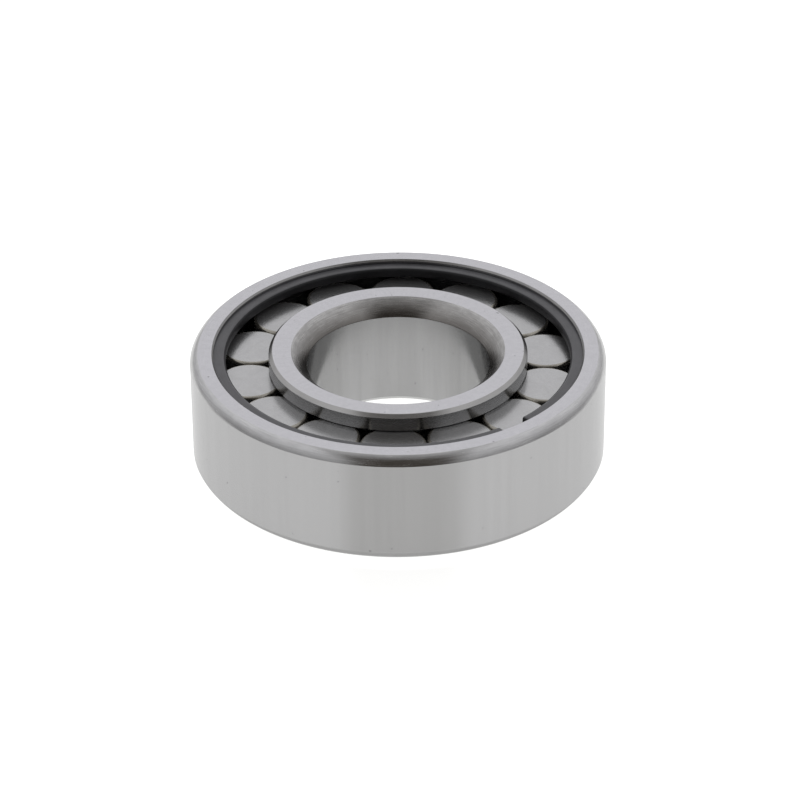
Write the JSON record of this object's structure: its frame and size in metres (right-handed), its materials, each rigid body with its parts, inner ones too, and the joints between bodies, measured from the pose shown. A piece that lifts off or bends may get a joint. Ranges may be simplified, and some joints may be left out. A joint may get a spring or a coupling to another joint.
{
  "type": "cylindrical roller bearing",
  "caption": "Single-row full-complement cylindrical roller bearing: ribbed rings with rollers side by side between them and a split retaining ring, for heavy radial load.",
  "frame": {"origin": "centre of the bearing, on its axis and halfway through its width", "axes": "+Z along the bearing's axis, towards the open side of the outer ring that the retaining ring closes; +X and +Y are radial"},
  "size_m": [0.05, 0.05, 0.014],
  "materials": {
    "ring_steel": "ground bearing steel, satin, with a light oil sheen",
    "roller_steel": "fine ground and lapped bearing steel",
    "retainer_steel": "black oxide spring steel, semi-matt"
  },
  "bodies": {
    "outer_ring": {"outer_ring": "ring_steel", "retaining_ring": "retainer_steel"},
    "inner_ring": {"inner_ring": "ring_steel"},
    "roller_01": {"roller_01": "roller_steel"},
    "roller_02": {"roller_02": "roller_steel"},
    "roller_03": {"roller_03": "roller_steel"},
    "roller_04": {"roller_04": "roller_steel"},
    "roller_05": {"roller_05": "roller_steel"},
    "roller_06": {"roller_06": "roller_steel"},
    "roller_07": {"roller_07": "roller_steel"},
    "roller_08": {"roller_08": "roller_steel"},
    "roller_09": {"roller_09": "roller_steel"},
    "roller_10": {"roller_10": "roller_steel"},
    "roller_11": {"roller_11": "roller_steel"},
    "roller_12": {"roller_12": "roller_steel"},
    "roller_13": {"roller_13": "roller_steel"},
    "roller_14": {"roller_14": "roller_steel"}
  },
  "joints": [
    {"name": "inner_ring_spin", "type": "hinge", "parent": "outer_ring", "child": "inner_ring", "pos_m": [0, 0, 0], "axis": [0, 0, 1], "continuous": true},
    {"name": "roller_orbit", "type": "hinge", "parent": "outer_ring", "child": "roller_01", "pos_m": [0, 0, 0], "axis": [0, 0, 1], "continuous": true},
    {"name": "roller_02_spin", "type": "hinge", "parent": "roller_01", "child": "roller_02", "pos_m": [0.01457, 0.01083, 0], "axis": [0, 0, 1], "continuous": true},
    {"name": "roller_03_spin", "type": "hinge", "parent": "roller_01", "child": "roller_03", "pos_m": [0.00843, 0.01607, 0], "axis": [0, 0, 1], "continuous": true},
    {"name": "roller_04_spin", "type": "hinge", "parent": "roller_01", "child": "roller_04", "pos_m": [0.00062, 0.01814, 0], "axis": [0, 0, 1], "continuous": true},
    {"name": "roller_05_spin", "type": "hinge", "parent": "roller_01", "child": "roller_05", "pos_m": [-0.00731, 0.01661, 0], "axis": [0, 0, 1], "continuous": true},
    {"name": "roller_06_spin", "type": "hinge", "parent": "roller_01", "child": "roller_06", "pos_m": [-0.0138, 0.01179, 0], "axis": [0, 0, 1], "continuous": true},
    {"name": "roller_07_spin", "type": "hinge", "parent": "roller_01", "child": "roller_07", "pos_m": [-0.01755, 0.00464, 0], "axis": [0, 0, 1], "continuous": true},
    {"name": "roller_08_spin", "type": "hinge", "parent": "roller_01", "child": "roller_08", "pos_m": [-0.01782, -0.00343, 0], "axis": [0, 0, 1], "continuous": true},
    {"name": "roller_09_spin", "type": "hinge", "parent": "roller_01", "child": "roller_09", "pos_m": [-0.01457, -0.01083, 0], "axis": [0, 0, 1], "continuous": true},
    {"name": "roller_10_spin", "type": "hinge", "parent": "roller_01", "child": "roller_10", "pos_m": [-0.00843, -0.01607, 0], "axis": [0, 0, 1], "continuous": true},
    {"name": "roller_11_spin", "type": "hinge", "parent": "roller_01", "child": "roller_11", "pos_m": [-0.00062, -0.01814, 0], "axis": [0, 0, 1], "continuous": true},
    {"name": "roller_12_spin", "type": "hinge", "parent": "roller_01", "child": "roller_12", "pos_m": [0.00731, -0.01661, 0], "axis": [0, 0, 1], "continuous": true},
    {"name": "roller_13_spin", "type": "hinge", "parent": "roller_01", "child": "roller_13", "pos_m": [0.0138, -0.01179, 0], "axis": [0, 0, 1], "continuous": true},
    {"name": "roller_14_spin", "type": "hinge", "parent": "roller_01", "child": "roller_14", "pos_m": [0.01755, -0.00464, 0], "axis": [0, 0, 1], "continuous": true}
  ],
  "couplings": [
    {"joint": "roller_orbit", "follows": "inner_ring_spin", "ratio": 0.38981},
    {"joint": "roller_02_spin", "follows": "inner_ring_spin", "ratio": -2.1586},
    {"joint": "roller_03_spin", "follows": "inner_ring_spin", "ratio": -2.1586},
    {"joint": "roller_04_spin", "follows": "inner_ring_spin", "ratio": -2.1586},
    {"joint": "roller_05_spin", "follows": "inner_ring_spin", "ratio": -2.1586},
    {"joint": "roller_06_spin", "follows": "inner_ring_spin", "ratio": -2.1586},
    {"joint": "roller_07_spin", "follows": "inner_ring_spin", "ratio": -2.1586},
    {"joint": "roller_08_spin", "follows": "inner_ring_spin", "ratio": -2.1586},
    {"joint": "roller_09_spin", "follows": "inner_ring_spin", "ratio": -2.1586},
    {"joint": "roller_10_spin", "follows": "inner_ring_spin", "ratio": -2.1586},
    {"joint": "roller_11_spin", "follows": "inner_ring_spin", "ratio": -2.1586},
    {"joint": "roller_12_spin", "follows": "inner_ring_spin", "ratio": -2.1586},
    {"joint": "roller_13_spin", "follows": "inner_ring_spin", "ratio": -2.1586},
    {"joint": "roller_14_spin", "follows": "inner_ring_spin", "ratio": -2.1586}
  ]
}
